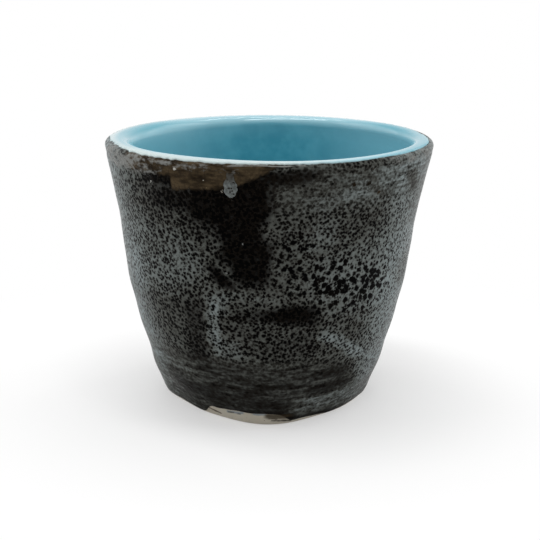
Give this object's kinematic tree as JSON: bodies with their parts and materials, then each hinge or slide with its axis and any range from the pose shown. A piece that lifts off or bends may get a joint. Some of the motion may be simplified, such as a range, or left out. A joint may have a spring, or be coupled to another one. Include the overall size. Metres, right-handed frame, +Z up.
{
  "type": "cup",
  "caption": "Hand-thrown stoneware cup without a handle: round lip, broad finger ridges, foot pressed to a soft square, glazed inside and out with bare clay at the foot.",
  "frame": {"origin": "on the table plane, under the centre of the round lip", "axes": "+Z up along the cup's axis; -Y towards the camera of the picture; +X to its right"},
  "size_m": [0.0898, 0.0898, 0.0738],
  "materials": {
    "stoneware": "bare fired clay, fine and matt",
    "turquoise_glaze": "glossy, paler where it thins over the lip",
    "iron_glaze": "glossy brown-black",
    "grey_glaze": "soft gloss, broken into fine dark specks"
  },
  "bodies": {
    "root": {"clay_body": "stoneware", "liner_glaze": "turquoise_glaze", "iron_glaze": "iron_glaze", "grey_glaze": "grey_glaze", "glaze_run": "grey_glaze"}
  },
  "joints": []
}
